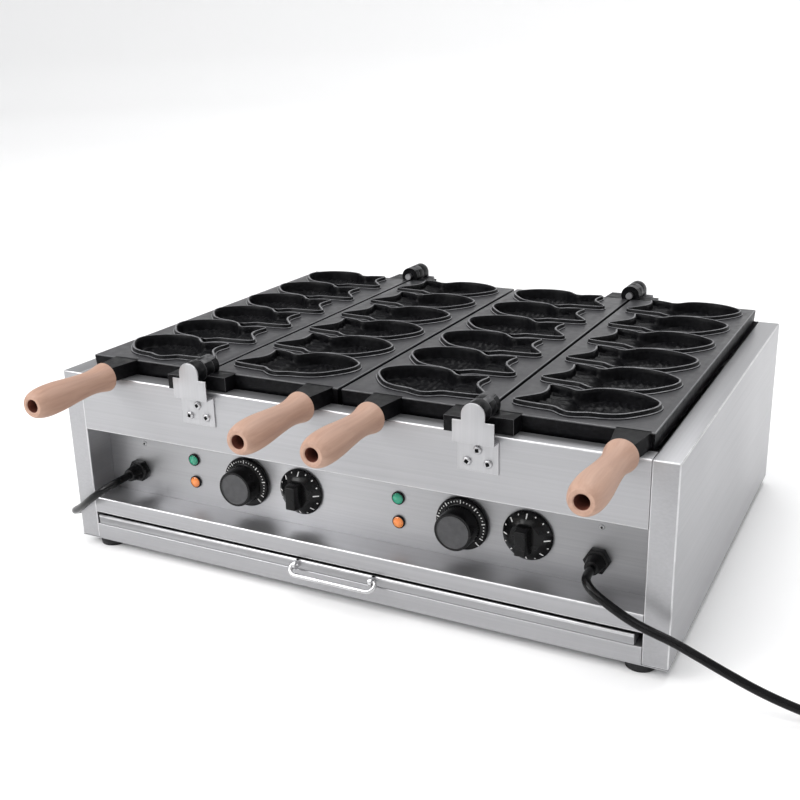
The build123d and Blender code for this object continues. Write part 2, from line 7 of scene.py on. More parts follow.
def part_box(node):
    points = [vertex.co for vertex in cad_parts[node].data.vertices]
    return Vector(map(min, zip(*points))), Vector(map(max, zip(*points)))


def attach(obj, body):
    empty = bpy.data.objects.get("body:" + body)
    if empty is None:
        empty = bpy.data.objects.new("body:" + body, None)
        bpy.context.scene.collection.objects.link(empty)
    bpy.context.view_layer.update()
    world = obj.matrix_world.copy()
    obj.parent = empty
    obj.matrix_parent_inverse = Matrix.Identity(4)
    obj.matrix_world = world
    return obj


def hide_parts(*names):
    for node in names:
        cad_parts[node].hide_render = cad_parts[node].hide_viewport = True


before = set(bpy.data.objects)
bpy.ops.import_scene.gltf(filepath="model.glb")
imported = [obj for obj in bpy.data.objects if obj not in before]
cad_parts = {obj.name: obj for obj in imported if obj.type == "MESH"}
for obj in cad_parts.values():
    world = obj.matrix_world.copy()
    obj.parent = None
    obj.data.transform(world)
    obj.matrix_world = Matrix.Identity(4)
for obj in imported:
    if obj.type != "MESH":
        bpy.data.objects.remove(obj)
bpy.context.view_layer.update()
print("frame loaded:", len(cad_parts), "nodes")

casing = {
    "front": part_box("side_wall_left")[0].y,      # the casing's front face
    "back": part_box("side_wall_left")[1].y,
    "half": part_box("base_pan")[1].x,
    "inner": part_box("side_wall_right")[0].x,
    "bottom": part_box("base_pan")[0].z,
    "top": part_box("side_wall_left")[1].z,
    "sheet": 0.0012,
}

# ---------- view
camera = {"lens": 49.086, "place": (0.49896, -1.00832, 0.5296), "yaw": 27.554, "pitch": 18.630, "roll": -1.3405}

cameraData = bpy.data.cameras.new("camera")
cameraData.lens = camera["lens"]
cameraData.sensor_width = 36
cameraObject = bpy.data.objects.new("camera", cameraData)
cameraObject.matrix_world = (
    Matrix.Translation(camera["place"])
    @ Matrix.Rotation(radians(camera["yaw"]), 4, "Z")
    @ Matrix.Rotation(radians(90 - camera["pitch"]), 4, "X")
    @ Matrix.Rotation(radians(camera["roll"]), 4, "Z"))
bpy.context.scene.collection.objects.link(cameraObject)
bpy.context.scene.camera = cameraObject

# ---------- cords
cord = {
    "radius": 0.004,
    "turnPoints": 16,
    "inner": 0.0538, "outer": 0.0622,            # middles of the turns
    "low": 0.0049, "high": 0.0130,
    "leave": 45, "toPlug": 0.036,
}
cordRoutes = {
    "right": {
        "points": [(0.251, -0.183, 0.086), (0.251, -0.199, 0.086), (0.255, -0.2072, 0.084), (0.262, -0.2123, 0.0803),
                   (0.277, -0.2138, 0.0718), (0.2935, -0.214, 0.063), (0.309, -0.214, 0.0573), (0.330, -0.212, 0.0505),
                   (0.349, -0.212, 0.043), (0.376, -0.211, 0.0315), (0.406, -0.210, 0.020), (0.439, -0.207, 0.0105),
                   (0.471, -0.2045, 0.0056), (0.500, -0.2035, 0.0049)],
        "coil": (0.532, -0.1415), "arrive": -90, "length": 1.57,
    },
    "left": {
        "points": [(-0.261, -0.183, 0.086), (-0.261, -0.200, 0.086), (-0.2645, -0.2084, 0.0836),
                   (-0.271, -0.2137, 0.0793), (-0.282, -0.2155, 0.0715), (-0.297, -0.213, 0.0605),
                   (-0.313, -0.2065, 0.049), (-0.332, -0.198, 0.038), (-0.345, -0.178, 0.028), (-0.350, -0.147, 0.019),
                   (-0.349, -0.115, 0.012), (-0.347, -0.083, 0.0072), (-0.346, -0.049, 0.0052),
                   (-0.346, -0.015, 0.0049)],
        "coil": (-0.408, 0.020), "arrive": 0, "length": 1.50,
    },
}


def smooth(x):
    x = min(max(x, 0), 1)
    return x * x * (3 - 2 * x)


def coilPoints(route):
    # one turn outside and one inside on the floor, then up: inside, outside, and off to the plug
    step = 360 / cord["turnPoints"]
    sweep = 3 * 360 + (cord["leave"] - route["arrive"]) % 360
    swell = 1 / cos(pi / cord["turnPoints"])     # the curve runs inside its points
    points = []
    for i in range(1, int(sweep // step) + 1):
        turned = i * step
        inwards = smooth((turned - 290) / 60) - smooth((turned - 1010) / 60)
        radius = swell * (cord["outer"] + (cord["inner"] - cord["outer"]) * inwards)
        height = cord["low"] + (cord["high"] - cord["low"]) * smooth((turned - 640) / 70)
        angle = radians(route["arrive"] + turned)
        points.append((route["coil"][0] + radius * cos(angle), route["coil"][1] + radius * sin(angle), height))
    away = radians(cord["leave"])
    for run in (0.4, 0.75, 1.0, 1.15):
        x = route["coil"][0] + cord["outer"] * cos(away) - run * cord["toPlug"] * sin(away)
        y = route["coil"][1] + cord["outer"] * sin(away) + run * cord["toPlug"] * cos(away)
        points.append((x, y, cord["high"]))
    return points


def newCord(name, route):
    curve = bpy.data.curves.new(name, "CURVE")
    curve.dimensions = "3D"
    curve.bevel_depth = 1
    curve.bevel_resolution = 6
    curve.resolution_u = 8
    curve.use_fill_caps = True
    spline = curve.splines.new("NURBS")
    points = route["points"] + coilPoints(route)
    spline.points.add(len(points) - 1)
    for point, place in zip(spline.points, points):
        point.co = (*place, 1)
        point.radius = cord["radius"]
    spline.order_u = 3
    spline.use_endpoint_u = True
    made = bpy.data.objects.new(name, curve)
    bpy.context.scene.collection.objects.link(made)
    return made


cords = {}
for side, route in cordRoutes.items():
    piece = newCord(f"mainsCord_{side}", route)
    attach(piece, "casing")
    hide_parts(f"cord_{side}", f"cord_coil_{side}")
    cords[side] = piece
print("cords laid")

# ---------- floor, world and lamps
stage = {
    "floor": (0.95, 0.95, 0.95), "world": (0.98, 0.985, 1.0), "worldStrength": 0.43,
    "dish": [(0, 0), (4.3, 0), (4.62, 0.05), (4.86, 0.2), (4.98, 0.45), (5.0, 0.8), (5.0, 2.4)],   # radius, height
    "sun": {"from": (-0.22, -0.46, 1.0), "strength": 1.95, "angle": 64},
    "lamps": [  # name, place, aimed at, width, height, watts
        ("keyLamp", (-1.0, -1.25, 0.95), (-0.1, -0.1, 0.1), 0.9, 0.6, 12),
        ("topLamp", (0.3, 0.9, 1.7), (0.1, 0.05, 0.2), 1.4, 0.5, 12),
    ],
}


def nodesOf(material):
    material.use_nodes = True
    return material.node_tree.nodes, material.node_tree.links


def newMaterial(name, color, **sockets):
    made = bpy.data.materials.new(name)
    nodes, _ = nodesOf(made)
    shader = nodes["Principled BSDF"]
    shader.inputs["Base Color"].default_value = (*color, 1)
    for socket, value in sockets.items():
        shader.inputs[socket.replace("_", " ")].default_value = value
    return made


def noiseOf(material, scale, stretch=(1, 1, 1), detail=3, roughness=0.55, turn=(0, 0, 0)):
    nodes, links = nodesOf(material)
    place = nodes.new("ShaderNodeTexCoord")
    mapping = nodes.new("ShaderNodeMapping")
    mapping.inputs["Scale"].default_value = stretch
    mapping.inputs["Rotation"].default_value = turn
    noise = nodes.new("ShaderNodeTexNoise")
    noise.inputs["Scale"].default_value = scale
    noise.inputs["Detail"].default_value = detail
    noise.inputs["Roughness"].default_value = roughness
    links.new(place.outputs["Object"], mapping.inputs["Vector"])
    links.new(mapping.outputs["Vector"], noise.inputs["Vector"])
    return noise.outputs["Fac"]


def rampOf(material, factor, stops):
    nodes, links = nodesOf(material)
    ramp = nodes.new("ShaderNodeValToRGB")
    while len(ramp.color_ramp.elements) < len(stops):
        ramp.color_ramp.elements.new(0.5)
    for element, (place, color) in zip(ramp.color_ramp.elements, stops):
        element.position = place
        element.color = (*color, 1)
    links.new(factor, ramp.inputs["Fac"])
    return ramp.outputs["Color"]


def rangeOf(material, factor, low, high):
    nodes, links = nodesOf(material)
    spread = nodes.new("ShaderNodeMapRange")
    spread.inputs["From Min"].default_value = 0.3
    spread.inputs["From Max"].default_value = 0.7
    spread.inputs["To Min"].default_value = low
    spread.inputs["To Max"].default_value = high
    links.new(factor, spread.inputs["Value"])
    return spread.outputs["Result"]


def feed(material, output, socket):
    nodes, links = nodesOf(material)
    links.new(output, nodes["Principled BSDF"].inputs[socket])


def bump(material, factor, strength, distance):
    nodes, links = nodesOf(material)
    made = nodes.new("ShaderNodeBump")
    made.inputs["Strength"].default_value = strength
    made.inputs["Distance"].default_value = distance
    links.new(factor, made.inputs["Height"])
    shader = nodes["Principled BSDF"].inputs["Normal"]
    if shader.is_linked:
        links.new(shader.links[0].from_socket, made.inputs["Normal"])
    links.new(made.outputs["Normal"], shader)


paintedLightReach = 0.3     # the painted reflection and shade along X runs this far to either side of the middle


def brushedSteel(name, color, stretch, shine=(0.38, 0.48), paintedLightAlongX=None):
    # fine streaks along the brushing; the last argument paints reflection and shade: how bright the sheet is from end
    # to end along X
    made = newMaterial(name, color, Metallic=0.92, Roughness=0.42)
    streaks = noiseOf(made, 1.0, stretch, detail=4, roughness=0.65)
    dark, light = [tuple(c * k for c in color) for k in (0.955, 1.035)]
    tone = rampOf(made, streaks, [(0.35, dark), (0.65, light)])
    # painted reflection and shade: the streaked tone is multiplied by a ramp along X
    if paintedLightAlongX:
        nodes, links = nodesOf(made)
        along = nodes.new("ShaderNodeSeparateXYZ")
        spread = nodes.new("ShaderNodeMapRange")
        spread.inputs["From Min"].default_value = -paintedLightReach
        spread.inputs["From Max"].default_value = paintedLightReach
        both = nodes.new("ShaderNodeMix")
        both.data_type, both.blend_type = "RGBA", "MULTIPLY"
        both.inputs["Factor"].default_value = 1
        links.new(nodes["Texture Coordinate"].outputs["Object"], along.inputs["Vector"])
        links.new(along.outputs["X"], spread.inputs["Value"])
        links.new(tone, both.inputs["A"])
        links.new(rampOf(made, spread.outputs["Result"], paintedLightAlongX), both.inputs["B"])
        tone = both.outputs["Result"]
    feed(made, tone, "Base Color")
    feed(made, rangeOf(made, noiseOf(made, 5, detail=2), *shine), "Roughness")
    bump(made, streaks, 0.025, 0.0002)
    return made


steelTone = (0.41, 0.41, 0.422)
material = {
    "steelAcross": brushedSteel("brushedSteelAcross", steelTone, (4, 300, 520)),
    # painted reflection and shade for the control panel: brightest left of the middle, darker towards both ends
    "steelPaintedShadeAndReflection": brushedSteel("brushedSteelPaintedShadeAndReflection", (0.50, 0.50, 0.513), (4, 300, 520), 
                               paintedLightAlongX=[(0.0, (0.56,) * 3), (0.37, (1.0,) * 3), (0.90, (0.62,) * 3)]),
    "steelAlong": brushedSteel("brushedSteelAlong", steelTone, (300, 4, 520)),
    "steelUp": brushedSteel("brushedSteelUp", (0.46, 0.46, 0.472), (400, 400, 6)),
    # painted highlight: a lighter, glossier steel on bends and rounded edges
    "steelPaintedHighlight": newMaterial("steelEdgePaintedHighlight", (0.62, 0.62, 0.63), Metallic=0.9, Roughness=0.34),
    "zinc": newMaterial("zincSteel", (0.50, 0.50, 0.51), Metallic=1.0, Roughness=0.38),
    "bright": newMaterial("brightSteel", (0.60, 0.60, 0.61), Metallic=1.0, Roughness=0.18),
    "cast": newMaterial("castPlate", (0.030, 0.030, 0.033), Roughness=0.40, Specular_IOR_Level=0.6),
    # painted shade: a near-black cast on the mould cavities, the plates' sides and underside, the lugs' sides and the
    # screws' sockets
    "castPaintedShade": newMaterial("castBlackPaintedShade", (0.006, 0.006, 0.007), Roughness=0.38, Specular_IOR_Level=0.10),
    # painted highlight on the plates' top edges, the rims' tops and the lugs' rounded edges
    "castPaintedHighlight": newMaterial("castEdgePaintedHighlight", (0.13, 0.13, 0.138), Roughness=0.34, Specular_IOR_Level=0.5),
    "wood": newMaterial("beechHandle", (0.60, 0.39, 0.28), Roughness=0.5),
    "bore": newMaterial("handleBore", (0.16, 0.045, 0.025), Roughness=0.7),
    "black": newMaterial("blackKnob", (0.006, 0.006, 0.0065), Roughness=0.20, Specular_IOR_Level=0.18),
    "knobFace": newMaterial("knobFace", (0.050, 0.050, 0.053), Roughness=0.36, Specular_IOR_Level=0.4),
    "marks": newMaterial("whiteMarks", (0.80, 0.80, 0.80), Roughness=0.5),
    "cord": newMaterial("cordRubber", (0.005, 0.005, 0.0055), Roughness=0.20, Specular_IOR_Level=0.20),
    "rubber": newMaterial("footRubber", (0.014, 0.014, 0.015), Roughness=0.65, Specular_IOR_Level=0.3),
    "green": newMaterial("greenLens", (0.010, 0.33, 0.19), Roughness=0.14, Coat_Weight=0.6),
    "orange": newMaterial("orangeLens", (0.92, 0.26, 0.05), Roughness=0.14, Coat_Weight=0.6),
    "sheath": newMaterial("heaterSheath", (0.10, 0.085, 0.075), Metallic=0.6, Roughness=0.55),
    "ceramic": newMaterial("ceramicBlock", (0.78, 0.76, 0.71), Roughness=0.4),
    "copper": newMaterial("copperTube", (0.62, 0.33, 0.20), Metallic=1.0, Roughness=0.35),
}


def grain(name, scale, strength, distance, shine=None, tones=None, stretch=(1, 1, 1)):
    # the common finish of a plain surface: fine bumps, uneven gloss and a little change of tone
    made = material[name]
    noise = noiseOf(made, scale, stretch)
    bump(made, noise, strength, distance)
    if shine:
        feed(made, rangeOf(made, noiseOf(made, scale / 12, stretch), *shine), "Roughness")
    if tones:
        feed(made, rampOf(made, noiseOf(made, scale / 6, stretch), [(0.35, tones[0]), (0.65, tones[1])]), "Base Color")


grain("zinc", 900, 0.08, 0.0002, (0.30, 0.46), ((0.46, 0.46, 0.47), (0.55, 0.55, 0.56)))
grain("steelPaintedHighlight", 500, 0.04, 0.0002, (0.28, 0.42), ((0.57, 0.57, 0.58), (0.67, 0.67, 0.68)))
grain("bright", 500, 0.03, 0.0002, (0.14, 0.26), ((0.56, 0.56, 0.57), (0.65, 0.65, 0.66)))
grain("cast", 1500, 0.22, 0.00022, (0.34, 0.46), ((0.025, 0.025, 0.028), (0.036, 0.036, 0.039)))
grain("castPaintedShade", 1500, 0.20, 0.00022, (0.32, 0.46), ((0.002, 0.002, 0.0025), (0.006, 0.006, 0.007)))
grain("castPaintedHighlight", 1200, 0.15, 0.0002, (0.28, 0.42), ((0.09, 0.09, 0.096), (0.17, 0.17, 0.178)))
grain("bore", 700, 0.3, 0.0004, None, ((0.10, 0.028, 0.018), (0.20, 0.060, 0.036)))
grain("black", 700, 0.04, 0.0002, (0.16, 0.26), ((0.003, 0.003, 0.0033), (0.006, 0.006, 0.0064)))
grain("knobFace", 900, 0.10, 0.0002, (0.30, 0.42), ((0.042, 0.042, 0.045), (0.058, 0.058, 0.061)))
grain("marks", 900, 0.1, 0.0001, (0.4, 0.6), ((0.74, 0.74, 0.73), (0.85, 0.85, 0.84)))
grain("cord", 900, 0.06, 0.0002, (0.16, 0.26), ((0.002, 0.002, 0.0023), (0.004, 0.004, 0.0044)))
grain("rubber", 800, 0.25, 0.0003, (0.55, 0.75), ((0.010, 0.010, 0.011), (0.020, 0.020, 0.021)))
grain("green", 400, 0.03, 0.0002, (0.10, 0.20), ((0.008, 0.28, 0.16), (0.014, 0.38, 0.22)))
grain("orange", 400, 0.03, 0.0002, (0.10, 0.20), ((0.86, 0.22, 0.04), (0.96, 0.32, 0.07)))
grain("sheath", 600, 0.3, 0.0003, (0.45, 0.65), ((0.06, 0.05, 0.045), (0.15, 0.12, 0.10)))
grain("ceramic", 500, 0.06, 0.0002, (0.3, 0.5), ((0.72, 0.70, 0.65), (0.80, 0.78, 0.73)))
grain("copper", 500, 0.06, 0.0002, (0.28, 0.42), ((0.50, 0.24, 0.14), (0.70, 0.38, 0.24)))


def beech():
    made = material["wood"]
    fibres = noiseOf(made, 1.0, (260, 9, 260), detail=5, roughness=0.6)
    clouds = noiseOf(made, 14, (1, 0.5, 1), detail=2)
    nodes, links = nodesOf(made)
    both = nodes.new("ShaderNodeMix")
    both.data_type = "RGBA"
    both.blend_type = "MULTIPLY"
    both.inputs["Factor"].default_value = 1.0
    links.new(rampOf(made, fibres, [(0.30, (0.40, 0.245, 0.180)), (0.70, (0.50, 0.325, 0.245))]), both.inputs["A"])
    links.new(rampOf(made, clouds, [(0.35, (0.92, 0.88, 0.86)), (0.65, (1, 1, 1))]), both.inputs["B"])
    feed(made, both.outputs["Result"], "Base Color")
    feed(made, rangeOf(made, fibres, 0.45, 0.62), "Roughness")
    bump(made, fibres, 0.12, 0.0003)


beech()
print("materials ready")

for piece in cords.values():
    piece.data.materials.append(material["cord"])


# ---------- mesh helpers
flatFrom = 4e-4     # square metres: faces of this size are flat, smaller ones are shaded smooth


def newPiece(name, bm, materials, body, nodes=(), smoothBelow=35):
    bmesh.ops.recalc_face_normals(bm, faces=bm.faces)
    mesh = bpy.data.meshes.new(name)
    bm.to_mesh(mesh)
    bm.free()
    for polygon in mesh.polygons:
        polygon.use_smooth = polygon.area < flatFrom
    mesh.set_sharp_from_angle(angle=radians(smoothBelow))
    for each in materials:
        mesh.materials.append(material[each])
    made = bpy.data.objects.new(name, mesh)
    bpy.context.scene.collection.objects.link(made)
    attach(made, body)
    if nodes:
        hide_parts(*nodes)
    return made


def sharpEdges(edges, angle=30):
    return [e for e in edges if len(e.link_faces) == 2 and e.calc_face_angle(0) > radians(angle)]


def roundEdges(bm, edges, width, segments=2, index=None):
    made = bmesh.ops.bevel(bm, geom=list(edges), offset=width, offset_type="OFFSET", affect="EDGES",
                           segments=segments, profile=0.5, material=-1, clamp_overlap=True)
    if index is not None:
        for face in made["faces"]:
            face.material_index = index


def newFaces(bm, before):
    return [f for f in bm.faces if f not in before]


def block(bm, low, high, edge=0, segments=2, index=0, edgeIndex=None):
    size = Vector(high) - Vector(low)
    middle = (Vector(high) + Vector(low)) / 2
    before = set(bm.faces)
    made = bmesh.ops.create_cube(bm, size=1, matrix=Matrix.Translation(middle) @ Matrix.Diagonal((*size, 1)))
    for face in newFaces(bm, before):
        face.material_index = index
    if edge:
        roundEdges(bm, {e for v in made["verts"] for e in v.link_edges}, edge, segments, edgeIndex)


def turned(bm, profile, place, direction, steps=48, index=0):
    # profile: (radius, distance along the axis); ends on the axis are closed
    before = set(bm.faces)
    turn = Vector((0, 0, 1)).rotation_difference(Vector(direction)).to_matrix().to_4x4()
    matrix = Matrix.Translation(place) @ turn
    verts = [bm.verts.new(matrix @ Vector((r, 0, z))) for r, z in profile]
    edges = [bm.edges.new(pair) for pair in zip(verts, verts[1:])]
    bmesh.ops.spin(bm, geom=verts + edges, cent=place, axis=Vector(direction).normalized(), angle=2 * pi,
                   steps=steps, use_merge=True)
    made = newFaces(bm, before)
    bmesh.ops.remove_doubles(bm, verts=list({v for f in made for v in f.verts}), dist=1e-7)
    made = newFaces(bm, before)
    for face in made:
        face.material_index = index
    return made


def rounded(profile, size, segments=3):
    # a profile with its inner corners turned into short arcs
    out = [profile[0]]
    for before, corner, after in zip(profile, profile[1:], profile[2:]):
        c = Vector(corner)
        a, b = Vector(before) - c, Vector(after) - c
        reach = min(size, a.length * 0.45, b.length * 0.45)
        start, end = c + a.normalized() * reach, c + b.normalized() * reach
        for k in range(segments + 1):
            t = k / segments
            out.append(tuple((1 - t) ** 2 * start + 2 * t * (1 - t) * c + t * t * end))
    out.append(profile[-1])
    return out


def folded(bm, profile, left, right, thickness, bend=0.0008):
    # sheet folded along X, its bends painted bright as highlights; profile: (y, z) of its outer side, thickness to the
    # left of its run
    before = set(bm.faces)
    points = rounded(profile, bend, 3)
    verts = [bm.verts.new((left, y, z)) for y, z in points]
    edges = [bm.edges.new(pair) for pair in zip(verts, verts[1:])]
    grown = bmesh.ops.extrude_edge_only(bm, edges=edges)["geom"]
    bmesh.ops.translate(bm, verts=[g for g in grown if isinstance(g, bmesh.types.BMVert)], vec=(right - left, 0, 0))
    made = newFaces(bm, before)
    # bend faces take material 1, where the pieces put the painted highlight
    for face in made:
        face.material_index = 1 if min(abs(face.normal.y), abs(face.normal.z)) > 0.05 else 0
    bmesh.ops.solidify(bm, geom=made, thickness=thickness)


def fromNode(node):
    # a merged copy of a CAD node's mesh
    bm = bmesh.new()
    bm.from_mesh(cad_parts[node].data)
    bmesh.ops.remove_doubles(bm, verts=bm.verts, dist=1e-6)
    bmesh.ops.dissolve_limit(bm, angle_limit=radians(1), verts=bm.verts, edges=bm.edges)
    return bm


def dress(nodes, name):
    for node in nodes:
        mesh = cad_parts[node].data
        mesh.materials.clear()
        mesh.materials.append(material[name])


# ---------- stage
def newStage():
    bm = bmesh.new()
    turned(bm, stage["dish"], (0, 0, 0), (0, 0, 1), 96)
    mesh = bpy.data.meshes.new("floor")
    bm.to_mesh(mesh)
    bm.free()
    for polygon in mesh.polygons:
        polygon.use_smooth = True
    mesh.set_sharp_from_angle(angle=radians(35))
    floor = bpy.data.objects.new("floor", mesh)
    bpy.context.scene.collection.objects.link(floor)
    mesh.materials.append(newMaterial("paperFloor", stage["floor"], Roughness=0.9, Specular_IOR_Level=0.1))
    world = bpy.data.worlds.new("studio")
    world.use_nodes = True
    plain = world.node_tree.nodes["Background"]
    plain.inputs["Color"].default_value = (*stage["world"], 1)
    plain.inputs["Strength"].default_value = stage["worldStrength"]
    bpy.context.scene.world = world
    sun = bpy.data.lights.new("sun", "SUN")
    sun.energy, sun.angle = stage["sun"]["strength"], radians(stage["sun"]["angle"])
    lamps = [(sun, stage["sun"]["from"], (0, 0, 0))]
    for name, place, aim, width, height, watts in stage["lamps"]:
        data = bpy.data.lights.new(name, "AREA")
        data.shape, data.size, data.size_y, data.energy = "RECTANGLE", width, height, watts
        lamps.append((data, place, aim))
    for data, place, aim in lamps:
        lamp = bpy.data.objects.new(data.name, data)
        look = (Vector(aim) - Vector(place)).to_track_quat("-Z", "Y")
        lamp.matrix_world = Matrix.Translation(place) @ look.to_matrix().to_4x4()
        bpy.context.scene.collection.objects.link(lamp)
    bpy.context.scene.view_settings.view_transform = "Standard"


newStage()


# ---------- casing
def softened(name, node, materials, body, width, angle=40, segments=2, edgeIndex=None, smoothBelow=35):
    bm = fromNode(node)
    for face in bm.faces:
        face.material_index = 0
    roundEdges(bm, sharpEdges(bm.edges, angle), width, segments, edgeIndex)
    return newPiece(name, bm, materials, body, [node], smoothBelow)


casingParts = {
    "bend": 0.0016, "recess": 0.033,
    "frontDrop": 0.0625, "topFlange": 0.019,
    "fasciaTop": 0.059, "slotTop": 0.0412, "railTop": 0.0278, "railFlange": 0.025,
}


def newCasing():
    top, front, sheet = casing["top"], casing["front"], casing["sheet"]
    inner, half, bottom = casing["inner"], casing["half"], casing["bottom"]
    edge = inner - 0.0001
    for side, sign in (("left", -1), ("right", 1)):
        bm = bmesh.new()
        # the rounded edges take material 1, a painted highlight
        block(bm, (min(sign * inner, sign * half), front, bottom + sheet),
              (max(sign * inner, sign * half), casing["back"], top), 0.0012, 3, 0, 1)
        newPiece(f"sideWall_{side}", bm, ["steelAlong", "steelPaintedHighlight"], "casing", [f"side_wall_{side}"])
    bm = bmesh.new()
    block(bm, (-half, front, bottom), (half, casing["back"], bottom + sheet), 0.0005, 2)
    newPiece("basePan", bm, ["steelAcross"], "casing", ["base_pan"])

    low = top - casingParts["frontDrop"]
    bm = bmesh.new()
    folded(bm, [(front + casingParts["recess"], low), (front, low), (front, top),
                (front + casingParts["topFlange"], top)], -edge, edge, sheet, casingParts["bend"])
    newPiece("frontPanel", bm, ["steelAcross", "steelPaintedHighlight"], "casing", ["front_panel"])

    bm = bmesh.new()
    folded(bm, [(front + casingParts["recess"] + 2 * sheet, casingParts["slotTop"]), (front, casingParts["slotTop"]),
                (front, casingParts["fasciaTop"]), (front + casingParts["recess"], casingParts["fasciaTop"])],
           -edge, edge, sheet, casingParts["bend"])
    newPiece("frontSill", bm, ["steelAcross", "steelPaintedHighlight"], "casing", ["front_sill"])

    bm = bmesh.new()
    folded(bm, [(front, bottom + sheet), (front, casingParts["railTop"]),
                (front + casingParts["railFlange"], casingParts["railTop"])],
           -edge, edge, sheet, casingParts["bend"])
    newPiece("bottomRail", bm, ["steelAcross", "steelAcross"], "casing", ["bottom_rail"])
    # the control panel takes the steel with painted reflection and shade
    softened("controlPanel", "control_panel", ["steelPaintedShadeAndReflection"], "casing", 0.0003, smoothBelow=1)
    softened("backPanel", "back_panel", ["steelAcross"], "casing", 0.0003, smoothBelow=1)


newCasing()
print("casing folded")

# ---------- hinge brackets, screws and feet
screw = {"head": 0.0040, "rise": 0.0020, "length": 0.008, "socket": 0.0019, "deep": 0.0011,
         "cross": (0.0046, 0.0009), "places": [(0, -0.0105), (-0.010, -0.022), (0.010, -0.022)],
         "bracketX": 0.150, "markHead": 0.0024, "markRise": 0.0010, "markPlace": (0.253, 0.117)}
foot = {"radius": 0.015, "height": 0.010, "draft": 0.0012, "screw": 0.0045}


def panHead(bm, place, direction, r, h, length, turn):
    # a pan head with a socket and a cross in it, both painted dark as shade
    k = r / screw["head"]
    sides = [(0, -length), (r / 2, -length), (r / 2, 0), (r, 0), (r, h * 0.35), (r * 0.88, h * 0.75)]
    turned(bm, sides + [(r * 0.62, h), (screw["socket"] * k, h)], place, direction, 24, 0)
    turned(bm, [(screw["socket"] * k, h), (screw["socket"] * k * 0.5, h - screw["deep"] * k),
                (0, h - screw["deep"] * k)], place, direction, 24, 1)
    bmesh.ops.remove_doubles(bm, verts=bm.verts, dist=1e-6)
    for angle in (turn, turn + 90):
        long, wide = (v * k for v in screw["cross"])
        before = set(bm.faces)
        bmesh.ops.create_cube(bm, size=1, matrix=Matrix.Translation(Vector(place) + Vector(direction) * (h - 0.00025))
                              @ Matrix.Rotation(radians(angle), 4, "Y") @ Matrix.Diagonal((long, 0.0006, wide, 1)))
        for face in newFaces(bm, before):
            face.material_index = 1


def newBrackets():
    # the brackets' rounded edges take material 1, a painted highlight
    for end in ("front", "back"):
        softened(f"hingeBrackets_{end}", f"hinge_brackets_{end}", ["steelUp", "steelPaintedHighlight"], "casing", 0.00045,
                 edgeIndex=1)
    low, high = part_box("bracket_screws")
    bm = bmesh.new()
    turn = 20
    for face, out in ((low.y + screw["rise"], -1), (high.y - screw["rise"], 1)):
        for x in (-screw["bracketX"], screw["bracketX"]):
            for dx, dz in screw["places"]:
                z = high.z - screw["head"] + dz - screw["places"][0][1]
                panHead(bm, (x + dx, face, z), (0, out, 0), screw["head"], screw["rise"], screw["length"], turn)
                turn += 37
    newPiece("bracketScrews", bm, ["zinc", "castPaintedShade"], "casing", ["bracket_screws"])
    bm = bmesh.new()
    x, z = screw["markPlace"]
    for sign in (-1, 1):
        panHead(bm, (sign * x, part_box("panel_screws")[0].y + screw["markRise"], z), (0, -1, 0), screw["markHead"],
                screw["markRise"], 0.004, 15 * sign)
    newPiece("panelScrews", bm, ["zinc", "castPaintedShade"], "casing", ["panel_screws"])
    bm = bmesh.new()
    low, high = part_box("feet")
    r, h = foot["radius"], foot["height"]
    for x in (low.x + r, high.x - r):
        for y in (low.y + r, high.y - r):
            turned(bm, rounded([(0, 0.0025), (foot["screw"], 0.0025), (foot["screw"], 0), (r - foot["draft"], 0),
                                (r, h), (0, h)], 0.0008), (x, y, 0), (0, 0, 1), 48)
    newPiece("rubberFeet", bm, ["rubber"], "casing", ["feet"])


newBrackets()
print("brackets and feet placed")

# ---------- mould plates
plate = {
    "near": 0.00175, "far": 0.148, "front": casing["front"] + 0.021, "back": casing["back"] - 0.006,
    "surface": 0.215, "thick": 0.020, "draft": 4, "hinge": 0.150,
    "edge": 0.0011, "under": 0.007, "underDeep": 0.0025,
}
fish = {
    "outline": [(-59.5, -23.5), (-50, -25.5), (-32, -27), (-19.5, -27), (-11.5, -34), (-4, -37.5), (3.5, -35),
                (11, -31.5), (20, -31), (30.5, -29), (40, -24), (48.5, -14.5), (57, -3.5), (61, 7), (60, 16),
                (53, 23), (43.5, 30), (33.5, 33.5), (24, 35.5), (13, 35.5), (6.5, 34), (0.5, 32), (-4.5, 27),
                (-11.5, 19.5), (-18, 18.5), (-24.5, 23), (-36.5, 26.5), (-44, 27.5), (-40.5, 19.5), (-39, 7),
                (-42.5, -2.5), (-49, -10), (-59.5, -22)],
    "spacing": 2.1, "offset": 0.074, "first": casing["front"] + 0.07025, "pitch": 0.0715, "count": 6,
    # outwards from the outline, height above the plate, in millimetres
    "rim": [(5.0, 0.0), (4.7, 0.9), (3.6, 1.3), (3.0, 3.4), (2.5, 4.5), (1.6, 4.8), (0.7, 4.6), (0.1, 3.7)],
    "wall": [(-0.4, 0.5), (-0.9, -3.5), (-1.5, -7.5), (-2.4, -9.6)],
    # 0 the plate's own, 1 near black as painted shade, 2 a painted highlight: from each ring to the next
    "bands": [1, 2, 1, 1, 2, 2, 1, 1, 1, 1, 1, 1],
    "floorInset": 3.2, "body": 11.6, "tail": 4.7, "tailEnd": -17, "tailSlope": 4, "mesh": 2.2,
}


def cutCorners(points, rounds=2):
    for _ in range(rounds):
        points = [p.lerp(q, t) for p, q in zip(points, points[1:] + points[:1]) for t in (0.22, 0.78)]
    return points


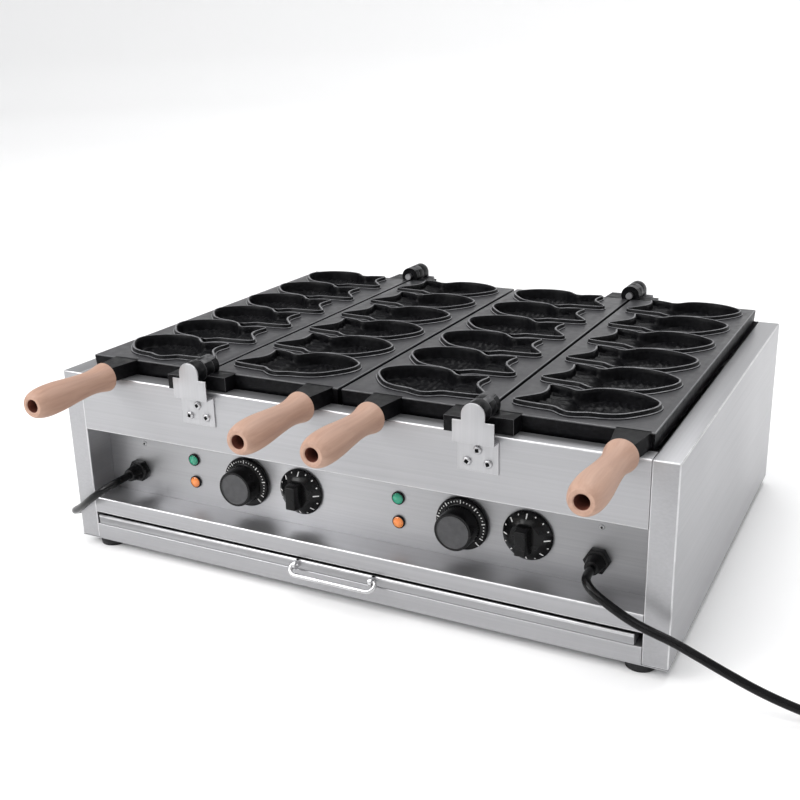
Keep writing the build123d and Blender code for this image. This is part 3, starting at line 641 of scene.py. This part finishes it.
def spaced(points, gap):
    # the same closed line with its points evenly apart
    ring = points + points[:1]
    runs = [(b - a).length for a, b in zip(ring, ring[1:])]
    count = round(sum(runs) / gap)
    step, out, i, used = sum(runs) / count, [], 0, 0.0
    for k in range(count):
        target = k * step
        while used + runs[i] < target:
            used += runs[i]
            i += 1
        out.append(ring[i].lerp(ring[i + 1], (target - used) / runs[i]))
    return out


def grown(points, distance):
    # the closed line moved outwards in short steps that keep it from crossing itself
    steps = max(1, round(abs(distance) / 0.4))
    for _ in range(steps):
        moved = []
        for a, p, b in zip(points[-1:] + points[:-1], points, points[1:] + points[:1]):
            along = (b - a).normalized()
            moved.append(p + Vector((along.y, -along.x)) * distance / steps)
        points = [p * 0.8 + (a + b) * 0.1
                  for a, p, b in zip(moved[-1:] + moved[:-1], moved, moved[1:] + moved[:1])]
    return points


def spanAt(points, u):
    # lowest and highest v of the closed line at u
    hits = []
    for a, b in zip(points, points[1:] + points[:1]):
        if (a.x - u) * (b.x - u) <= 0 and a.x != b.x:
            hits.append(a.y + (b.y - a.y) * (u - a.x) / (b.x - a.x))
    return (min(hits), max(hits)) if hits else None


def floorAt(u, v):
    # the mould's floor below the plate: body, tail fan, scales, gill, eye and fins
    body = smooth((u - fish["tailEnd"]) / fish["tailSlope"])
    deep = fish["tail"] + (fish["body"] - fish["tail"]) * body
    if u < fish["tailEnd"] + 1:
        fan = atan2(v + 2, u + 100)
        ribs = smooth(0.5 + 0.9 * cos(fan * 44)) * smooth((fish["tailEnd"] - u) / 5)
        return -deep + 2.6 * smooth((-u - 30) / 26) + 1.5 * ribs
    swell = 3.0 * smooth((hypot((u - 20) / 44, v / 33) - 0.5) / 0.5)
    if 2 < u < 46 and v > 24:
        return -deep + swell + 1.5 * smooth(0.5 + 0.9 * sin((u + 0.25 * v) * 0.95))     # back fin
    if -14 < u < 8 and v < -24:
        return -deep + swell + 1.4 * smooth(0.5 + 0.9 * sin((u - 0.6 * v) * 0.95))      # belly fin
    if hypot((u - 18) / 9, (v + 12) / 6) < 1:
        return -deep + swell + 1.1 + 0.7 * abs(sin(v * 0.9 + u * 0.12))  # side fin
    if u < 31:
        row = round(u / 7.0)
        cell = (v + (3.6 if row % 2 else 0)) % 7.2 - 3.6
        lap = (u - row * 7.0 + 3.5 + 0.17 * cell * cell) % 7.0
        return -deep + swell + 1.3 * smooth(1 - lap / 3.6)
    gill = abs(hypot(u - 52, v - 3) - 19.5)
    eye = hypot(u - 46, v - 12)
    mouth = abs(v + 4 + 0.05 * (u - 50) ** 2) if u > 49 else 9
    lift = 1.5 * smooth(1 - gill / 1.8) + 1.5 * smooth(1 - abs(eye - 3.6) / 1.4) + 1.3 * smooth(1 - eye / 1.5)
    return -deep + swell + lift + 1.3 * smooth(1 - mouth / 1.5)


def fishRings(below, above):
    # closed rings (u, v, z) from the plate up the rim and down the wall; the rim meets its neighbour's halfway
    outline = spaced(cutCorners([Vector(p) for p in fish["outline"]]), fish["spacing"])
    pitch = fish["pitch"] * 1000
    halfway = {}
    rings = []
    for out, height in fish["rim"] + fish["wall"]:
        ring = []
        for point in grown(outline, out):
            u, v, z = point.x, point.y, height
            key = round(u)
            if key not in halfway:
                near = [p.y for p in outline if abs(p.x - key) < 9]
                halfway[key] = (max(near) + min(near) + pitch) / 2
            ridge = halfway[key] - 0.06
            want = v
            if above and v > ridge - 0.01 and out > 0:
                v = ridge
            if below and v < ridge - pitch + 0.12 and out > 0:
                v = ridge - pitch + 0.12
            lost = abs(want - v)
            if lost and height < 4.4:
                z = height + (4.4 - height) * smooth(lost / 1.2)
            if out < 0:
                z = max(height, floorAt(u, v) + 0.5)
            ring.append(Vector((u, v, z)))
        rings.append(ring)
    return outline, rings


def fishFloor(outline):
    edge = grown(outline, -fish["floorInset"])
    step = fish["mesh"]
    inside = []
    u = -62.0
    row = 0
    safe = grown(outline, -fish["floorInset"] - 0.55 * step)
    while u < 62:
        span = spanAt(safe, u)
        if span:
            v = -42 + (row % 2) * step / 2
            while v < 38:
                crossings = sum(1 for a, b in zip(safe, safe[1:] + safe[:1])
                                if (a.y > v) != (b.y > v) and u < a.x + (b.x - a.x) * (v - a.y) / (b.y - a.y))
                if crossings % 2:
                    inside.append(Vector((u, v)))
                v += step
        u += step * 0.87
        row += 1
    count = len(edge)
    verts, _, faces, *_ = delaunay_2d_cdt(edge + inside, [], [list(range(count))], 1, 1e-5)
    return edge, verts, faces


def newFish(below, above):
    # one mould as a mesh open at the plate, in metres, and its outer edge in millimetres
    outline, rings = fishRings(below, above)
    edge, floorVerts, floorFaces = fishFloor(outline)
    bm = bmesh.new()
    rim = rings[0]
    rings = rings + [[Vector((p.x, p.y, floorAt(p.x, p.y))) for p in edge]]
    loops = []
    for ring in rings:
        verts = [bm.verts.new(p) for p in ring]
        loops.append([bm.edges.new(pair) for pair in zip(verts, verts[1:] + verts[:1])])
    for band, (a, b) in zip(fish["bands"], zip(loops, loops[1:])):
        for face in bmesh.ops.bridge_loops(bm, edges=a + b)["faces"]:
            face.material_index = band
    verts = [bm.verts.new((p.x, p.y, floorAt(p.x, p.y))) for p in floorVerts]
    # the mould's floor takes the painted shade (1)
    for face in floorFaces:
        bm.faces.new([verts[i] for i in face]).material_index = 1
    bmesh.ops.remove_doubles(bm, verts=bm.verts, dist=1e-4)
    bmesh.ops.scale(bm, vec=(0.001, 0.001, 0.001), verts=bm.verts)
    mesh = bpy.data.meshes.new("fish")
    bm.to_mesh(mesh)
    bm.free()
    return mesh, rim


def plateTop(bm, shapes):
    # the flat top between the moulds, and its outer edge
    e = plate["edge"]
    near, far, front, back = plate["near"] + e, plate["far"] - e, plate["front"] + e, plate["back"] - e
    points = [Vector(p) * 1000 for p in ((near, front), (far, front), (far, back), (near, back))]
    borders = [[0, 1, 2, 3]]
    for k in range(fish["count"]):
        rim = shapes[(k > 0, k < fish["count"] - 1)][1]
        place = Vector((fish["offset"], fish["first"] + k * fish["pitch"])) * 1000
        borders.append(list(range(len(points), len(points) + len(rim))))
        points += [p.to_2d() + place for p in rim]
    flat, _, faces, *_ = delaunay_2d_cdt(points, [], borders, 2, 1e-5)
    verts = [bm.verts.new((p.x / 1000, p.y / 1000, plate["surface"])) for p in flat]
    for face in faces:
        bm.faces.new([verts[i] for i in face])
    return [edge for edge in bm.edges if edge.is_boundary and all(
        min(abs(v.co.x - near), abs(v.co.x - far), abs(v.co.y - front), abs(v.co.y - back)) < 1e-6
        for v in edge.verts)]


def newPlate(number, hinge, side, shapes):
    bm = bmesh.new()
    grownDown = plateTop(bm, shapes)
    for k in range(fish["count"]):
        start = len(bm.verts)
        bm.from_mesh(shapes[(k > 0, k < fish["count"] - 1)][0])
        bm.verts.ensure_lookup_table()
        bmesh.ops.translate(bm, verts=bm.verts[start:],
                            vec=(fish["offset"], fish["first"] + k * fish["pitch"], plate["surface"]))
    e = plate["edge"]
    middle = Vector(((plate["near"] + plate["far"]) / 2, (plate["front"] + plate["back"]) / 2, 0))
    width, depth = plate["far"] - plate["near"], plate["back"] - plate["front"]
    inset = plate["thick"] * tan(radians(plate["draft"]))
    chamfer = 0.0003
    # the top chamfer band takes the painted highlight (2), the next band the plate's own (0), the sides below the
    # painted shade (1)
    for drop, shrink in ((chamfer, e * 0.3), (e, 0), (plate["thick"] - e, inset * 0.9), (plate["thick"], inset + e)):
        made = bmesh.ops.extrude_edge_only(bm, edges=grownDown)["geom"]
        for each in made:
            if isinstance(each, bmesh.types.BMFace):
                each.material_index = {chamfer: 2, e: 0}.get(drop, 1)
        verts = [g for g in made if isinstance(g, bmesh.types.BMVert)]
        grownDown = [g for g in made if isinstance(g, bmesh.types.BMEdge) and all(v in verts for v in g.verts)]
        for vert in verts:
            vert.co.x = middle.x + (1 if vert.co.x > middle.x else -1) * (width / 2 - shrink)
            vert.co.y = middle.y + (1 if vert.co.y > middle.y else -1) * (depth / 2 - shrink)
            vert.co.z = plate["surface"] - drop
    bmesh.ops.remove_doubles(bm, verts=bm.verts, dist=2e-6)
    under = bmesh.ops.contextual_create(bm, geom=grownDown)["faces"]
    # the underside takes the painted shade (1)
    under[0].material_index = 1
    bmesh.ops.inset_region(bm, faces=under, thickness=plate["under"], depth=0)
    bmesh.ops.inset_region(bm, faces=under, thickness=0.0012, depth=-plate["underDeep"])
    if side < 0:
        bmesh.ops.scale(bm, vec=(-1, 1, 1), verts=bm.verts)
    bmesh.ops.translate(bm, verts=bm.verts, vec=(hinge * plate["hinge"], 0, 0))
    return newPiece(f"mouldPlate_{number}", bm, ["cast", "castPaintedShade", "castPaintedHighlight"], f"plate_{number}",
                    [f"mould_plate_{number}"], 45)


def newLugs(number, side):
    # the lugs, knuckles and handle tang ahead of and behind the plate
    for end in ("front", "back"):
        bm = fromNode(f"mould_plate_{number}")
        cut = plate["front"] - 0.00002 if end == "front" else plate["back"] + 0.00002
        out = -1 if end == "front" else 1
        bmesh.ops.bisect_plane(bm, geom=bm.verts[:] + bm.edges[:] + bm.faces[:], dist=1e-6, plane_co=(0, cut, 0),
                               plane_no=(0, -out, 0), clear_outer=True)
        rim = [e for e in bm.edges if e.is_boundary]
        made = bmesh.ops.extrude_edge_only(bm, edges=rim)["geom"]
        bmesh.ops.translate(bm, verts=[g for g in made if isinstance(g, bmesh.types.BMVert)], vec=(0, -out * 0.003, 0))
        bmesh.ops.holes_fill(bm, edges=[e for e in bm.edges if e.is_boundary], sides=0)
        bmesh.ops.dissolve_limit(bm, angle_limit=radians(1), verts=bm.verts, edges=bm.edges)
        bm.normal_update()
        for face in bm.faces:
            # lug faces that don't face up take the painted shade (1)
            face.material_index = 0 if face.normal.z > 0.7 and len(face.edges) == 4 else 1
        away = [e for e in sharpEdges(bm.edges, 40) if all((v.co.y - cut) * out > 0.0005 for v in e.verts)]
        # the rounded lug edges take the painted highlight (2)
        roundEdges(bm, away, 0.0007, 2, 2)
        newPiece(f"plateLugs_{number}_{end}", bm, ["cast", "castPaintedShade", "castPaintedHighlight"], f"plate_{number}")


shapes = {pair: newFish(*pair) for pair in ((False, True), (True, True), (True, False))}
for number, (hinge, side) in enumerate([(-1, -1), (-1, 1), (1, -1), (1, 1)], start=1):
    newPlate(number, hinge, side, shapes)
    newLugs(number, side)
print("mould plates cast:", {pair: len(mesh.polygons) for pair, (mesh, rim) in shapes.items()})

# ---------- wooden handles
handle = {
    "height": 0.2045, "inner": casing["front"] - 0.012, "length": 0.101, "bore": 0.0064, "boreDeep": 0.030,
    "rod": 0.003, "chamfer": 0.0009,
    "sides": [(0.0000, 0.0148), (0.003, 0.0147), (0.011, 0.0131), (0.021, 0.0120), (0.034, 0.0122), (0.050, 0.0134),
              (0.066, 0.0148), (0.078, 0.0152), (0.088, 0.0148), (0.095, 0.0135), (0.099, 0.0119), (0.101, 0.0102)],
}


def throughPoints(points, per=4):
    # a smooth line through the points
    ends = [points[0]] + list(points) + [points[-1]]
    out = []
    for a, b, c, d in zip(ends, ends[1:], ends[2:], ends[3:]):
        a, b, c, d = map(Vector, (a, b, c, d))
        for k in range(per):
            t = k / per
            out.append(tuple(0.5 * (2 * b + (c - a) * t + (2 * a - 5 * b + 4 * c - d) * t * t
                                    + (3 * b - a - 3 * c + d) * t ** 3)))
    return out + [tuple(points[-1])]


def newHandles():
    for number in range(1, 5):
        low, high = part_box(f"wood_handle_{number}")
        bm = bmesh.new()
        length, bore, chamfer = handle["length"], handle["bore"], handle["chamfer"]
        sides = [(r, along) for along, r in throughPoints(handle["sides"], 3)]
        place = ((low.x + high.x) / 2, handle["inner"], handle["height"])
        outside = [(handle["rod"], 0), (sides[0][0] - 0.0007, 0)] + sides[1:]
        outside += [(bore + chamfer, length), (bore, length - chamfer)]
        turned(bm, outside, place, (0, -1, 0), 48, 0)
        turned(bm, [(bore, length - chamfer), (bore, length - handle["boreDeep"]),
                    (handle["rod"], length - handle["boreDeep"]), (handle["rod"], 0)], place, (0, -1, 0), 48, 1)
        bmesh.ops.remove_doubles(bm, verts=bm.verts, dist=1e-6)
        newPiece(f"woodHandle_{number}", bm, ["wood", "bore"], f"plate_{number}", [f"wood_handle_{number}"], 40)


newHandles()
print("handles turned")

# ---------- knobs
thermostatKnob = {"back": casing["front"] + 0.0318, "skirt": 0.0264, "skirtThick": 0.006, "slope": 0.0012,
                  "grip": 0.0195, "draft": 0.001, "length": 0.024, "dish": 0.0007,
                  "ticks": (-28, 208, 31), "tick": (0.0012, 0.0034)}
timerKnob = {"back": casing["front"] + 0.0318, "skirt": 0.0242, "skirtThick": 0.009, "face": 0.0142,
             "bar": (0.0105, 0.024), "rise": 0.013, "flare": 0.0015,
             "ticks": {90: 0.0052, 45: 0.0016, 0: 0.0062, -22: 0.0014, -45: 0.0046, -68: 0.0016, -90: 0.0040,
                       -135: 0.0016, 112: 0.0014, 135: 0.0050, 158: 0.0016, 180: 0.0052, 202: 0.0014, 225: 0.0046,
                       68: 0.0014, 22: 0.0014}}


def knobPlace(node, back):
    low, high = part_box(node)
    return Vector(((low.x + high.x) / 2, back, (low.z + high.z) / 2))


def markOn(bm, place, angle, radius, length, width, height, tilt, index):
    # a thin raised mark pointing away from the knob's axis
    spoke = Vector((cos(radians(angle)), 0, sin(radians(angle))))
    across = Vector((0, -1, 0)).cross(spoke)
    outwards = (spoke * cos(tilt) + Vector((0, 1, 0)) * sin(tilt)).normalized()
    up = across.cross(outwards) if across.cross(outwards).y < 0 else outwards.cross(across)
    turn = Matrix((outwards, across, up)).transposed().to_4x4()
    before = set(bm.faces)
    middle = place + spoke * radius + Vector((0, -height, 0))
    bmesh.ops.create_cube(bm, size=1, matrix=Matrix.Translation(middle) @ turn
                          @ Matrix.Diagonal((length, width, 0.0002, 1)))
    for face in newFaces(bm, before):
        face.material_index = index


def newKnobs():
    for side in ("left", "right"):
        t = thermostatKnob
        place = knobPlace(f"thermostat_knob_{side}", t["back"])
        bm = bmesh.new()
        thick, skirt, grip, long = t["skirtThick"], t["skirt"], t["grip"], t["length"]
        profile = [(0.003, 0), (skirt, 0), (skirt, thick * 0.45), (skirt - t["slope"], thick * 0.8),
                   (grip + 0.0012, thick), (grip, thick + 0.0008), (grip - t["draft"], long),
                   (grip - 0.0035, long)]
        turned(bm, rounded(profile, 0.0007, 2), place, (0, -1, 0), 64)
        turned(bm, [(grip - 0.0035, long), (grip - 0.0042, long - t["dish"]), (0, long - t["dish"])], place,
               (0, -1, 0), 64, 2)
        bmesh.ops.remove_doubles(bm, verts=bm.verts, dist=1e-6)
        first, last, count = t["ticks"]
        for k in range(count):
            angle = first + (last - first) * k / (count - 1)
            wide = k % 5 == 0
            markOn(bm, place, angle, grip + 0.0037, t["tick"][1] if wide else t["tick"][0], 0.0009,
                   thick * 0.93, radians(6), 1)
        markOn(bm, place, -45, grip + 0.0037, 0.005, 0.001, thick * 0.93, radians(6), 1)
        newPiece(f"thermostatKnob_{side}", bm, ["black", "marks", "knobFace"], f"thermostat_{side}",
                 [f"thermostat_knob_{side}"])

        t = timerKnob
        place = knobPlace(f"timer_knob_{side}", t["back"])
        bm = bmesh.new()
        thick, skirt, face = t["skirtThick"], t["skirt"], t["face"]
        profile = [(0.003, 0), (skirt, 0), (skirt, 0.0016), (face, thick), (0, thick)]
        turned(bm, rounded(profile, 0.0008, 2), place, (0, -1, 0), 64)
        (wide, tall), flare = t["bar"], t["flare"]
        made = bmesh.ops.create_cube(bm, size=1)["verts"]
        for vert in made:
            atFront = vert.co.y < 0
            grow = 0 if atFront else flare
            vert.co = place + Vector((
                (1 if vert.co.x > 0 else -1) * (wide / 2 + grow), -thick - (t["rise"] if atFront else -0.002),
                (1 if vert.co.z > 0 else -1) * (tall / 2 + grow)))
        roundEdges(bm, {e for v in made for e in v.link_edges}, 0.0010, 3)
        slope = atan2(thick - 0.0016, skirt - face)
        for angle, length in t["ticks"].items():
            markOn(bm, place, angle, skirt - 0.0018 - length / 2 * cos(slope), length, 0.0011,
                   0.0016 + (0.0018 + length / 2 * cos(slope)) * (thick - 0.0016) / (skirt - face) + 0.00005, slope, 1)
        newPiece(f"timerKnob_{side}", bm, ["black", "marks"], f"timer_{side}", [f"timer_knob_{side}"])


newKnobs()
print("knobs moulded")

# ---------- lamps and glands
lamp = {"radius": 0.0048, "lens": 0.0054, "dome": 0.0024, "bezelThick": 0.002, "facets": 8}


def newLamps():
    for color in ("green", "orange"):
        bm = bmesh.new()
        low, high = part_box(f"lamps_{color}")
        z = (low.z + high.z) / 2
        front = casing["front"] + casingParts["recess"] - lamp["bezelThick"]
        r, dome = lamp["lens"], lamp["dome"]
        for x in (low.x + lamp["radius"], high.x - lamp["radius"]):
            turned(bm, [(0, -0.010), (lamp["radius"], -0.010), (lamp["radius"], 0), (r, 0.0001), (r, 0.0006),
                        (r * 0.86, 0.0011)], (x, front, z), (0, -1, 0), 48)
            turned(bm, [(r * 0.86, 0.0011), (r * 0.42, dome * 0.84), (0, dome)], (x, front, z), (0, -1, 0),
                   lamp["facets"])
        newPiece(f"lampLenses_{color}", bm, [color], "casing", [f"lamps_{color}"], 12)
    softened("lampBezels", "lamp_bezels", ["black"], "casing", 0.0003)


newLamps()
for side in cords:
    softened(f"cableGland_{side}", f"cable_gland_{side}", ["black"], "casing", 0.0007)
print("lamps and glands fitted")

# ---------- plugs
plug = {"body": 0.0585}     # from where the cord enters it to its pins


def newPlugs():
    for side, route in cordRoutes.items():
        away = radians(cord["leave"])
        leaving = Vector((-sin(away), cos(away), 0))
        start = Vector((*route["coil"], 0)) + cord["outer"] * Vector((cos(away), sin(away), 0))
        start += cord["toPlug"] * leaving
        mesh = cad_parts[f"cord_plug_{side}"].data
        dress([f"cord_plug_{side}"], "cord")
        mesh.materials.append(material["bright"])
        for polygon in mesh.polygons:
            polygon.material_index = 1 if (polygon.center - start).dot(leaving) > plug["body"] else 0
        dress([f"cord_tie_{side}"], "black")


newPlugs()
print("plugs finished")

# ---------- drawer
def newDrawer():
    bm = fromNode("drawer_tray")
    low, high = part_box("drawer_tray")
    # the rolled top edge at the front takes material 1, a painted highlight
    for face in bm.faces:
        face.material_index = 1 if face.calc_center_median().y < low.y + 0.0035 and \
            face.calc_center_median().z > high.z - 0.0036 and abs(face.normal.x) < 0.9 else 0
    roundEdges(bm, sharpEdges(bm.edges, 50), 0.0003, 2)
    newPiece("drawerTray", bm, ["steelAcross", "steelPaintedHighlight"], "drawer", ["drawer_tray"])
    bm = fromNode("drawer_bail")
    newPiece("drawerBail", bm, ["bright"], "bail", ["drawer_bail"])
    softened("bailEyes", "bail_eyes", ["bright"], "drawer", 0.0004)


newDrawer()
print("drawer fitted")

# ---------- CAD nodes that keep their shape
dress(["hinge_pins", "heater_rails", "heat_shield", "divider", "drawer_runners"]
      + [f"handle_rod_{n}" for n in range(1, 5)]
      + [f"{kind}_shaft_{side}" for kind in ("thermostat", "timer") for side in cords], "zinc")
dress(["heating_elements"], "sheath")
dress(["terminal_block"], "ceramic")
dress(["thermostat_bulb_left", "thermostat_bulb_right"], "copper")
dress(["thermostat_bodies", "timer_bodies"], "black")

print("done")
